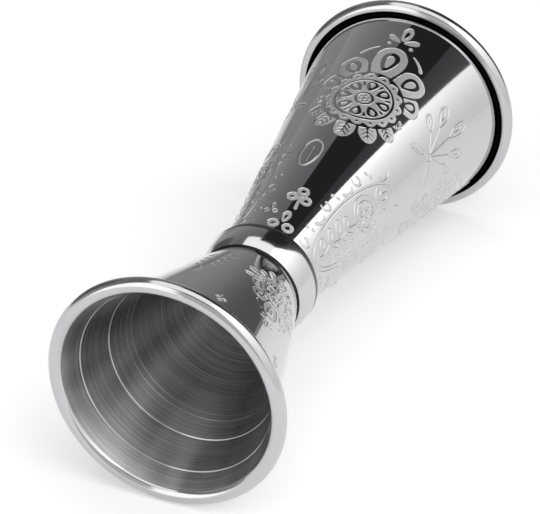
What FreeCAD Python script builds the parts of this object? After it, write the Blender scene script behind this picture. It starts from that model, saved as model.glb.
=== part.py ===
import FreeCAD, Part
import Sketcher
import math
import os

# A double-ended bar jigger lying on its side: two spun cups, base to base, with a band round the waist.
# The jigger's axis is parallel to +X, the small cup opens towards -X and the large cup towards +X.
# The two rims stand on z = 0 and the origin is the middle of the jigger's footprint.
# Every outline below is drawn as x along the axis, from a cup's mouth inwards, and y as the radius.

SIZES = [
    ("overall_length", 116.5, "small mouth plane to large mouth plane"),
    ("rim_diameter", 46.0, "outside of the rolled rim, the same on both cups"),
    ("bead_diameter", 2.9, "thickness of the rolled rim"),
    ("bead_flat", 0.5, "width of the flat that the rim stands on"),
    ("sheet_thickness", 0.65, "cup wall"),
    ("corner_radius", 2.2, "inside corner between wall and base"),
    ("small_base_depth", 40.42, "small mouth plane to the outside of its base"),
    ("small_wall_angle", 16.4, "half angle of the small cup's cone, in degrees"),
    ("small_flare_depth", 6.5, "where the small cup's wall starts to flare"),
    ("small_curl_end", -54.0, "where the small rim's rolled edge stops short of the wall, in degrees"),
    ("small_line_upper", 5.0, "small mouth plane to the upper measuring line"),
    ("small_line_lower", 12.3, "small mouth plane to the lower measuring line"),
    ("large_base_depth", 75.78, "large mouth plane to the outside of its base"),
    ("large_wall_angle", 8.95, "half angle of the large cup's cone, in degrees"),
    ("large_flare_depth", 25.0, "where the large cup's wall starts to flare"),
    ("large_curl_end", -38.0, "where the large rim's rolled edge stops short of the wall, in degrees"),
    ("large_line_upper", 11.0, "large mouth plane to its measuring line"),
    ("line_width", 0.4, "width of a measuring line"),
    ("line_depth", 0.15, "depth of a measuring line"),
    ("collar_start", 37.2, "small mouth plane to the band's edge"),
    ("collar_width", 7.0, "edge to edge along the axis"),
    ("collar_diameter", 21.6, "at the band's crown"),
    ("collar_lip", 0.35, "height of the band's edges over the cups"),
    ("collar_edge_round", 0.12, "rounding of the band's edges"),
    ("small_waist_diameter", 19.68, "outside of the small cup at the band's edge"),
    ("large_waist_diameter", 18.84, "outside of the large cup at the band's edge"),
    ("solder_leg", 0.3, "leg of the solder fillet at each edge of the band"),
    ("weld_diameter", 9.0, "weld nugget between the two bases"),
]

doc = FreeCAD.newDocument("bar_jigger")
sheet = doc.addObject("Spreadsheet::Sheet", "Sizes")
for row, (alias, value, note) in enumerate(SIZES, start=1):
    sheet.set(f"A{row}", note)
    sheet.set(f"B{row}", str(value))
    sheet.setAlias(f"B{row}", alias)
doc.recompute()
size = {alias: float(sheet.get(alias)) for alias, value, note in SIZES}


def vector(x, y):
    return FreeCAD.Vector(x, y, 0)


def polar(centre, radius, degrees):
    """The point at an angle on a circle, measured from the axis direction towards larger radii."""
    turn = math.radians(degrees)
    return vector(centre.x + radius * math.cos(turn), centre.y + radius * math.sin(turn))


class Outline:
    """A closed outline, drawn edge by edge, in the XY plane of its body."""

    AXIS = -1
    MOUTH = -2
    CENTRE = 3

    def __init__(self, body, name):
        plane = next(p for p in body.Origin.OriginFeatures if p.Role == "XY_Plane")
        self.sketch = body.newObject("Sketcher::SketchObject", name)
        self.sketch.AttachmentSupport = [(plane, "")]
        self.sketch.MapMode = "FlatFace"
        self.ends = {}

    def line(self, start, end):
        edge = self.sketch.addGeometry(Part.LineSegment(start, end), False)
        self.ends[edge] = (1, 2)
        return edge

    def arc(self, centre, radius, start, end):
        """An arc between two angles in degrees, clockwise when the end angle is the smaller."""
        low, high = sorted((math.radians(start), math.radians(end)))
        circle = Part.Circle(centre, FreeCAD.Vector(0, 0, 1), radius)
        edge = self.sketch.addGeometry(Part.ArcOfCircle(circle, low, high), False)
        self.ends[edge] = (1, 2) if start < end else (2, 1)
        return edge

    def first(self, edge):
        return edge, self.ends[edge][0]

    def last(self, edge):
        return edge, self.ends[edge][1]

    def rule(self, kind, *parts):
        return self.sketch.addConstraint(Sketcher.Constraint(kind, *parts))

    def as_drawn(self, kind, parts):
        """The size that a dimension has in the outline as it was drawn."""
        if kind == "Radius":
            return self.sketch.Geometry[parts[0]].Radius
        if kind == "Angle":
            line = self.sketch.Geometry[parts[0]]
            return math.atan2(line.EndPoint.y - line.StartPoint.y, line.EndPoint.x - line.StartPoint.x)
        gap = self.sketch.getPoint(*parts[2:]) - self.sketch.getPoint(*parts[:2])
        return gap.x if kind == "DistanceX" else gap.y

    def bind(self, kind, parts, formula):
        """A dimension whose value is a formula of the sheet's cells, an angle in degrees."""
        drawn = self.as_drawn(kind, parts)
        dimension = self.sketch.addConstraint(Sketcher.Constraint(kind, *parts, drawn))
        if kind == "Angle":
            formula = f"({formula}) * 1 deg"
        self.sketch.setExpression(f"Constraints[{dimension}]", formula)

    def locate(self, point, x=None, y=None):
        """Place a point by its distances from the mouth's centre."""
        if x is not None:
            self.bind("DistanceX", (self.AXIS, 1, *point), x)
        if y is not None:
            self.bind("DistanceY", (self.AXIS, 1, *point), y)

    def chain(self, edges, smooth):
        """Join each edge's end to the next one's start, tangent where the pair is named as smooth."""
        for before, after in zip(edges, edges[1:] + edges[:1]):
            kind = "Tangent" if (before, after) in smooth else "Coincident"
            self.rule(kind, *self.last(before), *self.first(after))


def horizontal_axis(sketch):
    return (sketch, ["H_Axis"])


def new_body(label, end):
    """An empty body whose origin is the centre of the small or the large mouth."""
    body = doc.addObject("PartDesign::Body", label)
    body.Label = label
    if end == "large":
        body.Placement.Rotation = FreeCAD.Rotation(FreeCAD.Vector(0, 0, 1), 180)
    side = "" if end == "large" else "-"
    body.setExpression("Placement.Base.x", f"{side}Sizes.overall_length / 2")
    body.setExpression("Placement.Base.z", "Sizes.rim_diameter / 2")
    return body


def revolve(body, outline, name):
    solid = body.newObject("PartDesign::Revolution", name)
    solid.Profile = outline.sketch
    solid.ReferenceAxis = horizontal_axis(outline.sketch)
    solid.Angle = 360
    return solid


# The waist is where a cup meets the band's edge: its depth below that cup's own mouth,
# as a formula of the sheet's cells and as a number.
WAIST_FORMULA = {
    "small": "Sizes.collar_start",
    "large": "(Sizes.overall_length - Sizes.collar_start - Sizes.collar_width)",
}
waist_depth = {
    "small": size["collar_start"],
    "large": size["overall_length"] - size["collar_start"] - size["collar_width"],
}


def cone_formula(end, depth):
    """Formula for the inside radius of a cup's cone at a depth below its mouth."""
    angle = f"Sizes.{end}_wall_angle * 1 deg"
    waist = f"Sizes.{end}_waist_diameter / 2 - Sizes.sheet_thickness / cos({angle})"
    return f"({waist} + ({WAIST_FORMULA[end]} - {depth}) * tan({angle}))"


def cone_radius(end, depth):
    """The same inside radius as a number."""
    angle = math.radians(size[f"{end}_wall_angle"])
    waist = size[f"{end}_waist_diameter"] / 2 - size["sheet_thickness"] / math.cos(angle)
    return waist + (waist_depth[end] - depth) * math.tan(angle)


def cup_profile(body, end):
    """The section of one spun cup: base, cone, flared mouth and the edge rolled outwards into a bead."""
    wall = size["sheet_thickness"]
    bead = size["bead_diameter"] / 2
    corner = size["corner_radius"]
    slope = size[f"{end}_wall_angle"]
    base = size[f"{end}_base_depth"]
    flare_depth = size[f"{end}_flare_depth"]
    normal = polar(vector(0, 0), 1, 90 - slope)

    # the bead's centre, and the flare's arc, which touches the cone and the bead from outside
    flat_angle = math.degrees(math.asin(size["bead_flat"] / 2 / bead))
    bead_centre = vector(bead * math.cos(math.radians(flat_angle)), size["rim_diameter"] / 2 - bead)
    flare_start = vector(flare_depth, cone_radius(end, flare_depth))
    offset = flare_start - bead_centre
    flare = (bead**2 - offset.Length**2) / (2 * (offset.dot(normal) + bead))
    flare_centre = flare_start + normal * flare
    to_bead = bead_centre - flare_centre
    touch = math.degrees(math.atan2(to_bead.y, to_bead.x)) % 360

    corner_x = base - wall - corner
    corner_y = cone_radius(end, corner_x) - corner / math.cos(math.radians(slope))
    corner_centre = vector(corner_x, corner_y)
    inner_mouth = polar(bead_centre, bead, 180 + flat_angle)
    outer_mouth = polar(bead_centre, bead, 180 - flat_angle)
    curl_end = size[f"{end}_curl_end"]

    draw = Outline(body, f"{end}_cup_section")
    base_in = draw.line(vector(base - wall, 0), polar(corner_centre, corner, 0))
    corner_in = draw.arc(corner_centre, corner, 0, 90 - slope)
    cone_in = draw.line(polar(corner_centre, corner, 90 - slope), flare_start)
    flare_in = draw.arc(flare_centre, flare, 270 - slope, touch)
    bead_in = draw.arc(bead_centre, bead, touch, 180 + flat_angle)
    flat = draw.line(inner_mouth, outer_mouth)
    bead_out = draw.arc(bead_centre, bead, 180 - flat_angle, curl_end)
    edge = draw.line(polar(bead_centre, bead, curl_end), polar(bead_centre, bead - wall, curl_end))
    hollow = draw.arc(bead_centre, bead - wall, curl_end, touch)
    flare_out = draw.arc(flare_centre, flare - wall, touch, 270 - slope)
    cone_out = draw.line(
        polar(flare_centre, flare - wall, 270 - slope),
        polar(corner_centre, corner + wall, 90 - slope),
    )
    corner_out = draw.arc(corner_centre, corner + wall, 90 - slope, 0)
    base_out = draw.line(polar(corner_centre, corner + wall, 0), vector(base, 0))
    axis = draw.line(vector(base, 0), vector(base - wall, 0))

    round_trip = [
        base_in, corner_in, cone_in, flare_in, bead_in, flat, bead_out,
        edge, hollow, flare_out, cone_out, corner_out, base_out, axis,
    ]
    smooth = [
        (base_in, corner_in), (corner_in, cone_in), (cone_in, flare_in), (flare_in, bead_in),
        (hollow, flare_out), (flare_out, cone_out), (cone_out, corner_out), (corner_out, base_out),
    ]
    draw.chain(round_trip, smooth)

    # base: two faces a sheet apart, with rounded corners
    depth = f"Sizes.{end}_base_depth"
    draw.rule("Vertical", base_in)
    draw.rule("Vertical", base_out)
    draw.rule("Horizontal", axis)
    draw.locate(draw.first(base_in), x=f"{depth} - Sizes.sheet_thickness")
    draw.rule("PointOnObject", *draw.first(base_in), draw.AXIS)
    draw.locate(draw.last(base_out), x=depth)
    draw.bind("Radius", (corner_in,), "Sizes.corner_radius")
    draw.bind("Radius", (corner_out,), "Sizes.corner_radius + Sizes.sheet_thickness")

    # cone: inside and outside are parallel, and the outside passes the band's edge at the waist
    waist = draw.sketch.addGeometry(
        Part.Point(vector(waist_depth[end], size[f"{end}_waist_diameter"] / 2)), True
    )
    draw.locate((waist, 1), WAIST_FORMULA[end], f"Sizes.{end}_waist_diameter / 2")
    draw.rule("PointOnObject", waist, 1, cone_out)
    draw.rule("Parallel", cone_in, cone_out)
    draw.bind("Angle", (cone_out,), f"-Sizes.{end}_wall_angle")

    # rim: flare and bead keep one centre each for the two faces of the sheet
    draw.locate(draw.last(cone_in), x=f"Sizes.{end}_flare_depth")
    draw.rule("Coincident", flare_in, draw.CENTRE, flare_out, draw.CENTRE)
    draw.rule("Coincident", bead_in, draw.CENTRE, bead_out, draw.CENTRE)
    draw.rule("Coincident", bead_in, draw.CENTRE, hollow, draw.CENTRE)
    draw.rule("Equal", bead_in, bead_out)
    draw.bind("Radius", (bead_in,), "Sizes.bead_diameter / 2")
    draw.bind("Radius", (hollow,), "Sizes.bead_diameter / 2 - Sizes.sheet_thickness")
    draw.locate((bead_in, draw.CENTRE), y="Sizes.rim_diameter / 2 - Sizes.bead_diameter / 2")
    draw.rule("PointOnObject", *draw.first(flat), draw.MOUTH)
    draw.rule("Vertical", flat)
    draw.bind("DistanceY", (flat, 1, flat, 2), "Sizes.bead_flat")
    draw.rule("PointOnObject", bead_in, draw.CENTRE, edge)
    draw.bind("Angle", (edge,), f"Sizes.{end}_curl_end + 180")
    return draw


def cut_line(body, end, line):
    """A shallow V scribed round the inside of a cup."""
    depth = f"Sizes.{end}_line_{line}"
    radius = cone_formula(end, depth)
    lead_in = 0.1
    middle = size[f"{end}_line_{line}"]
    inside = cone_radius(end, middle)
    half = size["line_width"] / 2
    draw = Outline(body, f"{end}_line_{line}_section")
    left = vector(middle - half, inside - lead_in)
    right = vector(middle + half, inside - lead_in)
    bottom = vector(middle, inside + size["line_depth"])
    mouth_side = draw.line(left, right)
    rising = draw.line(right, bottom)
    falling = draw.line(bottom, left)
    draw.chain([mouth_side, rising, falling], [])
    draw.rule("Horizontal", mouth_side)
    draw.locate(draw.first(mouth_side), f"{depth} - Sizes.line_width / 2", f"{radius} - {lead_in}")
    draw.locate(draw.last(mouth_side), x=f"{depth} + Sizes.line_width / 2")
    draw.locate(draw.last(rising), depth, f"{radius} + Sizes.line_depth")
    groove = body.newObject("PartDesign::Groove", f"{end}_line_{line}")
    groove.Profile = draw.sketch
    groove.ReferenceAxis = horizontal_axis(draw.sketch)
    groove.Angle = 360


def make_cup(end, lines):
    body = new_body(f"{end}_cup", end)
    revolve(body, cup_profile(body, end), f"{end}_cup_spun")
    for line in lines:
        cut_line(body, end, line)
    return body


def is_ring(edge, point):
    """True where an edge is the circle that a point of the outline sweeps round the axis."""
    if not isinstance(edge.Curve, Part.Circle):
        return False
    return abs(edge.Curve.Radius - point.y) < 1e-4 and abs(edge.Curve.Center.x - point.x) < 1e-4


def make_collar():
    """The band: a bore that fits both cones, a lip at each edge and a crowned outside."""
    body = new_body("waist_collar", "small")
    start = size["collar_start"]
    end = start + size["collar_width"]
    small_slope = math.tan(math.radians(size["small_wall_angle"]))
    large_slope = math.tan(math.radians(size["large_wall_angle"]))
    small_waist = size["small_waist_diameter"] / 2
    large_waist = size["large_waist_diameter"] / 2
    narrow_x = (small_waist - large_waist + start * small_slope + end * large_slope)
    narrow_x = narrow_x / (small_slope + large_slope)
    narrow = vector(narrow_x, small_waist - (narrow_x - start) * small_slope)
    small_low = vector(start, small_waist)
    small_high = vector(start, small_waist + size["collar_lip"])
    large_low = vector(end, large_waist)
    large_high = vector(end, large_waist + size["collar_lip"])
    crown = vector((start + end) / 2, size["collar_diameter"] / 2)

    draw = Outline(body, "collar_section")
    small_bore = draw.line(small_low, narrow)
    large_bore = draw.line(narrow, large_low)
    large_lip = draw.line(large_low, large_high)
    crowned = Part.Circle(small_high, crown, large_high)
    spokes = [point - crowned.Center for point in (large_high, small_high)]
    angles = [math.degrees(math.atan2(spoke.y, spoke.x)) for spoke in spokes]
    outside = draw.arc(crowned.Center, crowned.Radius, *angles)
    small_lip = draw.line(small_high, small_low)
    draw.chain([small_bore, large_bore, large_lip, outside, small_lip], [])
    draw.locate(draw.first(small_bore), "Sizes.collar_start", "Sizes.small_waist_diameter / 2")
    draw.locate(
        draw.last(large_bore),
        "Sizes.collar_start + Sizes.collar_width",
        "Sizes.large_waist_diameter / 2",
    )
    draw.bind("Angle", (small_bore,), "-Sizes.small_wall_angle")
    draw.bind("Angle", (large_bore,), "Sizes.large_wall_angle")
    draw.rule("Vertical", large_lip)
    draw.rule("Vertical", small_lip)
    draw.bind("DistanceY", (large_lip, 1, large_lip, 2), "Sizes.collar_lip")
    draw.bind("DistanceY", (small_lip, 2, small_lip, 1), "Sizes.collar_lip")
    top = draw.sketch.addGeometry(Part.Point(crown), True)
    draw.locate((top, 1), "Sizes.collar_start + Sizes.collar_width / 2", "Sizes.collar_diameter / 2")
    draw.rule("PointOnObject", top, 1, outside)
    band = revolve(body, draw, "collar_turned")
    doc.recompute()
    outer_edges = [
        f"Edge{number}"
        for number, edge in enumerate(band.Shape.Edges, start=1)
        if any(is_ring(edge, corner) for corner in (small_high, large_high))
    ]
    rounding = body.newObject("PartDesign::Fillet", "collar_edges")
    rounding.Base = (band, outer_edges)
    rounding.setExpression("Radius", "Sizes.collar_edge_round")
    return body


def make_solder(end):
    """The thin fillet of solder in the corner between one cup and the edge of the band."""
    body = new_body(f"{end}_side_solder", end)
    edge_x = waist_depth[end]
    waist = size[f"{end}_waist_diameter"] / 2
    leg = size["solder_leg"]
    slope = math.tan(math.radians(size[f"{end}_wall_angle"]))
    root = vector(edge_x, waist)
    top = vector(edge_x, waist + leg)
    toe = vector(edge_x - leg, waist + leg * slope)
    draw = Outline(body, f"{end}_solder_section")
    on_cup = draw.line(toe, root)
    on_band = draw.line(root, top)
    face = draw.line(top, toe)
    draw.chain([on_cup, on_band, face], [])
    draw.locate(draw.last(on_cup), WAIST_FORMULA[end], f"Sizes.{end}_waist_diameter / 2")
    draw.bind("Angle", (on_cup,), f"-Sizes.{end}_wall_angle")
    draw.rule("Vertical", on_band)
    draw.bind("DistanceY", (on_band, 1, on_band, 2), "Sizes.solder_leg")
    draw.bind("DistanceX", (on_cup, 1, on_cup, 2), "Sizes.solder_leg")
    revolve(body, draw, f"{end}_solder_ring")
    return body


def make_weld():
    """The weld nugget that fills the gap between the two bases."""
    weld = doc.addObject("Part::Cylinder", "base_weld")
    weld.Label = "base_weld"
    weld.Placement.Rotation = FreeCAD.Rotation(FreeCAD.Vector(0, 1, 0), 90)
    weld.setExpression("Radius", "Sizes.weld_diameter / 2")
    gap = "Sizes.overall_length - Sizes.small_base_depth - Sizes.large_base_depth"
    weld.setExpression("Height", gap)
    weld.setExpression("Placement.Base.x", "Sizes.small_base_depth - Sizes.overall_length / 2")
    weld.setExpression("Placement.Base.z", "Sizes.rim_diameter / 2")
    return weld


pieces = [
    make_cup("small", ["upper", "lower"]),
    make_cup("large", ["upper"]),
    make_collar(),
    make_solder("small"),
    make_solder("large"),
    make_weld(),
]

doc.recompute()
for item in doc.Objects:
    if "Invalid" in item.State or "Error" in item.State:
        raise RuntimeError(f"{item.Name} didn't recompute: {item.State}")
for piece in pieces:
    if piece.Shape.isNull() or not piece.Shape.isValid():
        raise RuntimeError(f"{piece.Label} has no valid shape")

os.makedirs("parts", exist_ok=True)
for piece in pieces:
    piece.Shape.exportStep(f"parts/{piece.Label}.step")
    print(f"{piece.Label}: {len(piece.Shape.Solids)} solid, {piece.Shape.Volume:.1f} mm3")
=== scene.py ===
import bpy
import math
import random
import numpy as np
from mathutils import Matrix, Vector, kdtree
from mathutils.geometry import delaunay_2d_cdt


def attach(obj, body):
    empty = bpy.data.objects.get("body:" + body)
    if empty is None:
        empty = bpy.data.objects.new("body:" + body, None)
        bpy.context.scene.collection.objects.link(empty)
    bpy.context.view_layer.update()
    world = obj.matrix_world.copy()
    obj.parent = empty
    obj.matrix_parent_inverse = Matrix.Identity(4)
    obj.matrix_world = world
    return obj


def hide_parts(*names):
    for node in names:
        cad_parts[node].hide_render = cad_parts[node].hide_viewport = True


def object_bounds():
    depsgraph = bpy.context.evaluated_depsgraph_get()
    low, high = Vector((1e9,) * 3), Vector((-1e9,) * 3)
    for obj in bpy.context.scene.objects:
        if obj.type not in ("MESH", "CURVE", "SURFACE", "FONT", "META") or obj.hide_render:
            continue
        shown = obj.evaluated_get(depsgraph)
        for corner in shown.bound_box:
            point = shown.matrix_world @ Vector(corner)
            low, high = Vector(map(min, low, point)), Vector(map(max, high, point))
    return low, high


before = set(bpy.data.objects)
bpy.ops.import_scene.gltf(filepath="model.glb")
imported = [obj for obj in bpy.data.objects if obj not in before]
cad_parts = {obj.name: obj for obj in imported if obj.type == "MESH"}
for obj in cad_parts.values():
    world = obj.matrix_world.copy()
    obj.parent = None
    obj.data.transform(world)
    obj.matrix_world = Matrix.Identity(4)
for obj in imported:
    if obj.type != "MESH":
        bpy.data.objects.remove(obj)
cad_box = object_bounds()
scene = bpy.context.scene

# Lengths in this script are millimetres, and MM turns them into the metres of the scene.
MM = 0.001
LENGTH = (cad_box[1][0] - cad_box[0][0]) / MM
RIM = (cad_box[1][2] - cad_box[0][2]) / MM / 2   # outer radius of both rims
AXIS_Z = RIM           # height of the axis over the table

# Driving dimensions of the design. A cup's depths are measured from its own mouth plane.
SHEET = 0.65           # thickness of the cups' steel
BEAD = 1.45            # outer radius of the curled rim's section
BEAD_FLAT = 0.5        # width of the flat on the rim, in the mouth plane
CORNER = 2.2           # inner radius between a cup's wall and its base
COLLAR_START = 37.2    # from the small mouth to the band
COLLAR_WIDTH = 7.0
COLLAR_LIP = 0.04      # height of the band's edge over the small cup
COLLAR_SLOPES = ((0.0, 62), (0.15, 29), (1.3, 18), (3.0, 8), (5.9, 0))   # (distance, degrees)
COLLAR_SHOULDER = 1.0  # height of the rounded shoulder towards the large cup
SLOPE_STEPS = 8        # divisions between two of the band's slopes
SHOULDER_STEPS = 16    # divisions of the shoulder
SHADED_STEPS = 18        # divisions before the band's end that are painted dark, as painted shade and a painted dark reflection

# "curl" is where the curled sheet ends, in degrees round the bead's section: 90 is its outermost
# point and 0 the one farthest from the mouth. "lines" are the depths of the measuring lines, and
# "patch" is where the etched zone begins and ends.
SMALL = {
    "end": "small", "mouth": -1, "base": 40.42, "angle": 16.4, "flare": 6.5, "curl": -54.0,
    "waist_depth": COLLAR_START, "waist": 9.84, "lines": (5.0, 12.3), "patch": (3.3, 36.7),
}
LARGE = {
    "end": "large", "mouth": 1, "base": 75.78, "angle": 8.95, "flare": 25.0, "curl": -8.0,
    "waist_depth": LENGTH - COLLAR_START - COLLAR_WIDTH, "waist": 9.42, "lines": (11.0,),
    "patch": (3.2, 71.9),
}

LINE_HALF = 0.17       # half the width of a measuring line
LINE_DEPTH = 0.13
MARK_HALF = 0.06       # half the width of a turning mark
MARK_DEPTHS = (0.010, 0.035)
MARK_GAPS = (1.1, 3.6)   # least and greatest distance between turning marks
MARK_MARGIN = 3.0      # plain steel between the marks and the lines or the base
MARK_SEED = 7

ROUND = 224            # divisions round the axis
BASE_RINGS = 14        # circles on the inside of a base
CORNER_STEPS = 8       # divisions of the corner inside
CORNER_STEPS_OUT = 6   # and outside
BEAD_STEPS_IN = 14     # divisions of the bead on the cup's side of its flat
BEAD_STEPS_OUT = 32    # and past the flat
HOLLOW_STEPS = 24      # divisions of the hollow in the bead
SEAM = -2 * math.pi * 33 / ROUND   # turn at which the etched zone's flat layout starts and ends
SEAM_MARGIN = 0.4      # least distance of a grid point from that seam
WELD = 0.0002          # points are joined into vertices on a grid of this size
ETCH_DEPTH = 0.065     # how deep the pattern is etched
ETCH_WALL = 0.10       # width of its sloping edge
OUTLINE_STEP = 0.24    # spacing of the points along an outline
GRID_STEP = 1.25       # spacing of the points between outlines
CLEARANCE = 0.3        # least distance of a grid point from an outline
CURL_SHADE = 2.9       # depth to which the steel behind the curled rim is painted near black, as painted shade

# Material slots, in the order of steel_materials() for a cup and band_materials() for the band.
# The cup's last slot is painted near black, as the shade behind and inside the curled rim.
POLISHED, RIM_FINISH, SATIN, ETCHED, ETCHED_EDGE, CURL_PAINTED_SHADE = range(6)
# The band's edge slot is painted near black as shade, and its last slot is painted dark as shade and a
# dark reflection.
BAND_POLISHED, BAND_EDGE, BAND_PAINTED_SHADE = range(3)


# ---------------------------------------------------------------- sections

def along(centre, radius, degrees):
    """The point of a circle in a direction, counted from the first axis."""
    turn = math.radians(degrees)
    return (centre[0] + radius * math.cos(turn), centre[1] + radius * math.sin(turn))


def arc_run(centre, radius, start, end, outward, steps):
    """Points of an arc with their normals, which point away from the centre when outward is 1."""
    run = []
    for index in range(steps + 1):
        degrees = start + (end - start) * index / steps
        x, r = along(centre, radius, degrees)
        turn = math.radians(degrees)
        run.append((x, r, outward * math.cos(turn), outward * math.sin(turn)))
    return run


class Section:
    """The section of one cup: depth below its mouth, radius and normal of every surface."""

    def __init__(self, cup):
        """Works out the flare that touches both the straight cone and the rim's bead."""
        self.cup = cup
        self.slope = math.radians(cup["angle"])
        flat = math.degrees(math.asin(BEAD_FLAT / 2 / BEAD))
        self.flat_angle = flat
        self.bead = (BEAD * math.cos(math.radians(flat)), RIM - BEAD)
        normal = (math.sin(self.slope), math.cos(self.slope))
        start = (cup["flare"], self.cone(cup["flare"]))
        gap = (start[0] - self.bead[0], start[1] - self.bead[1])
        reach = gap[0] * normal[0] + gap[1] * normal[1]
        self.flare = (BEAD**2 - gap[0]**2 - gap[1]**2) / (2 * (reach + BEAD))
        self.flare_centre = (start[0] + normal[0] * self.flare, start[1] + normal[1] * self.flare)
        to_bead = (self.bead[0] - self.flare_centre[0], self.bead[1] - self.flare_centre[1])
        self.touch = math.degrees(math.atan2(to_bead[1], to_bead[0])) % 360
        self.cone_end = 270 - cup["angle"]
        corner_x = cup["base"] - SHEET - CORNER
        self.corner = (corner_x, self.cone(corner_x) - CORNER / math.cos(self.slope))

    def cone(self, depth):
        """Inner radius of the straight cone."""
        waist = self.cup["waist"] - SHEET / math.cos(self.slope)
        return waist + (self.cup["waist_depth"] - depth) * math.tan(self.slope)

    def wall(self, depth, outside):
        """Radius and normal of the inner or the outer face of the wall."""
        radius = self.flare - SHEET if outside else self.flare
        last = along(self.flare_centre, radius, self.cone_end)
        side = 1 if outside else -1
        if depth >= last[0]:
            r = last[1] - (depth - last[0]) * math.tan(self.slope)
            return r, (side * math.sin(self.slope), side * math.cos(self.slope))
        dx = depth - self.flare_centre[0]
        dr = -math.sqrt(radius**2 - dx**2)
        return self.flare_centre[1] + dr, (-side * dx / radius, -side * dr / radius)


# ---------------------------------------------------------------- mesh building

class Skin:
    """A mesh gathered face by face, with its own normal at every corner of every face."""

    def __init__(self, name, mouth_x, side):
        self.name = name
        self.mouth_x = mouth_x
        self.side = side
        self.vertices = []
        self.index = {}
        self.faces = []
        self.normals = []
        self.slots = []

    def place(self, depth, radius, turn):
        """Scene position in millimetres of a depth below the mouth, a radius and an angle round +X."""
        x = self.mouth_x - self.side * depth
        return (x, radius * math.cos(turn), AXIS_Z + radius * math.sin(turn))

    def tilt(self, along_axis, outward, turn):
        """Scene direction of a normal of the section."""
        return (-self.side * along_axis, outward * math.cos(turn), outward * math.sin(turn))

    def vertex(self, point):
        """Index of a vertex, shared by all faces that meet there."""
        key = tuple(round(value / WELD) for value in point)
        if key not in self.index:
            self.index[key] = len(self.vertices)
            self.vertices.append(tuple(value * MM for value in point))
        return self.index[key]

    def face(self, points, normals, slot):
        """Adds one face, turned so that it faces the way of its normals."""
        corners = [self.vertex(point) for point in points]
        kept = [k for k, corner in enumerate(corners) if corner != corners[k - 1]]
        if len(kept) < 3:
            return
        corners = [corners[k] for k in kept]
        normals = [normals[k] for k in kept]
        if self.faces_away(points, normals):
            corners.reverse()
            normals.reverse()
        self.faces.append(corners)
        self.normals.extend(normals)
        self.slots.append(slot)

    def faces_away(self, points, normals):
        """Whether the corners run the wrong way round for the normals."""
        first, second, third = (Vector(points[k]) for k in (0, 1, 2))
        flat = (second - first).cross(third - first)
        if len(points) == 4:
            flat += (third - first).cross(Vector(points[3]) - first)
        mean = sum((Vector(normal) for normal in normals), Vector())
        return flat.dot(mean) < 0

    def turn_run(self, run, slot):
        """Sweep a run of the section round the axis."""
        for (x0, r0, nx0, nr0), (x1, r1, nx1, nr1) in zip(run, run[1:]):
            for step in range(ROUND):
                a = 2 * math.pi * step / ROUND
                b = 2 * math.pi * ((step + 1) % ROUND) / ROUND
                points = [self.place(x0, r0, a), self.place(x0, r0, b)]
                points += [self.place(x1, r1, b), self.place(x1, r1, a)]
                normals = [self.tilt(nx0, nr0, a), self.tilt(nx0, nr0, b)]
                normals += [self.tilt(nx1, nr1, b), self.tilt(nx1, nr1, a)]
                self.face(points, normals, slot)

    def finish(self, materials):
        """The gathered faces as an object of the scene."""
        mesh = bpy.data.meshes.new(self.name)
        mesh.from_pydata(self.vertices, [], self.faces)
        for material in materials:
            mesh.materials.append(material)
        mesh.polygons.foreach_set("material_index", self.slots)
        mesh.polygons.foreach_set("use_smooth", [True] * len(self.faces))
        mesh.normals_split_custom_set([Vector(normal).normalized() for normal in self.normals])
        mesh.update()
        piece = bpy.data.objects.new(self.name, mesh)
        scene.collection.objects.link(piece)
        return piece


# ---------------------------------------------------------------- ornament shapes
# Each shape is (outline, level). An even level is etched into the steel and an odd level is left
# polished, and where shapes overlap the highest level counts, as if it were painted last.
# Outlines are in millimetres, x to the right and y towards the cup's mouth.

def resample(points, step=OUTLINE_STEP, closed=True):
    """The same line with evenly spaced points."""
    ring = points + points[:1] if closed else points
    lengths = [math.dist(a, b) for a, b in zip(ring, ring[1:])]
    total = sum(lengths)
    count = max(10 if closed else 2, round(total / step))
    result = []
    segment = 0
    walked = 0.0
    for index in range(count if closed else count + 1):
        target = total * index / count
        while segment < len(lengths) - 1 and walked + lengths[segment] < target:
            walked += lengths[segment]
            segment += 1
        share = (target - walked) / max(lengths[segment], 1e-9)
        (x0, y0), (x1, y1) = ring[segment], ring[segment + 1]
        result.append((x0 + (x1 - x0) * share, y0 + (y1 - y0) * share))
    return result


def spread(start, end, count):
    """Evenly spaced values from start to end."""
    return [start + (end - start) * k / (count - 1) for k in range(count)]


def moved(shapes, x=0.0, y=0.0, degrees=0.0, scale=1.0, up=0):
    """Shapes scaled, turned, shifted and, with up, raised by a number of levels."""
    turn = math.radians(degrees)
    result = []
    for outline, level in shapes:
        points = []
        for px, py in outline:
            px, py = px * scale, py * scale
            points.append((
                x + px * math.cos(turn) - py * math.sin(turn),
                y + px * math.sin(turn) + py * math.cos(turn),
            ))
        result.append((points, level + up))
    return result


def oval(rx, ry, level=0, x=0.0, y=0.0):
    """An ellipse round a point."""
    turns = [2 * math.pi * k / 72 for k in range(72)]
    return [([(x + rx * math.cos(t), y + ry * math.sin(t)) for t in turns], level)]


def disc(radius, level=0, x=0.0, y=0.0):
    """A circle round a point."""
    return oval(radius, radius, level, x, y)


def scalloped(radius, lobes, swell):
    """A disc with a row of round lobes for its edge."""
    outline = []
    for k in range(lobes * 16):
        turn = 2 * math.pi * k / (lobes * 16)
        r = radius + swell * abs(math.sin(lobes * turn / 2))
        outline.append((r * math.cos(turn), r * math.sin(turn)))
    return [(outline, 0)]


def leaf(length, width, fullness=0.35, level=0, start=0.0):
    """A leaf or petal that grows up from y = start, fuller towards its tip when fullness is positive."""
    points = []
    for k in range(80):
        t = 2 * math.pi * k / 80
        rise = (1 - math.cos(t)) / 2
        x = width / 2 * math.sin(t) * (1 - fullness * math.cos(t))
        points.append((x, start + length * rise))
    return [(points, level)]


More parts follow.
